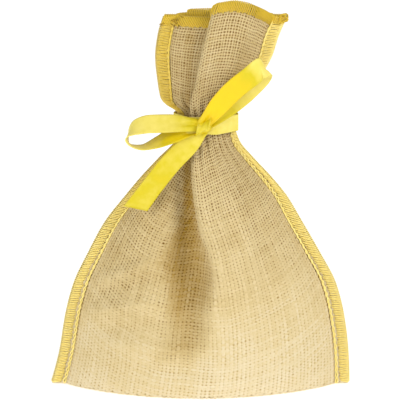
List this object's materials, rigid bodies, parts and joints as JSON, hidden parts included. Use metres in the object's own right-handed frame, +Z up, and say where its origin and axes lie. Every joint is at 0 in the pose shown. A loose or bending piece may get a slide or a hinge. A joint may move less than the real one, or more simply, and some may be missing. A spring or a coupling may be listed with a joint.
{
  "type": "jute gift pouch tied with a satin ribbon",
  "caption": "Small jute pouch standing on its opened base, gathered at the neck and tied with a satin ribbon bow, with an open collar above.",
  "frame": {"origin": "on the base's flat underside, midway between the side seams and between the furthest front and back points", "axes": "+Z up through the neck, +X to the right along the base, +Y to the back; the bow is on the -Y side"},
  "size_m": [0.122, 0.0453, 0.164],
  "materials": {
    "jute": "open plain weave of natural jute",
    "satin": "glossy yellow satin ribbon",
    "thread": "yellow overlock and chain stitching"
  },
  "bodies": {
    "root": {"pouch": "jute", "ribbon": "satin"}
  },
  "joints": []
}
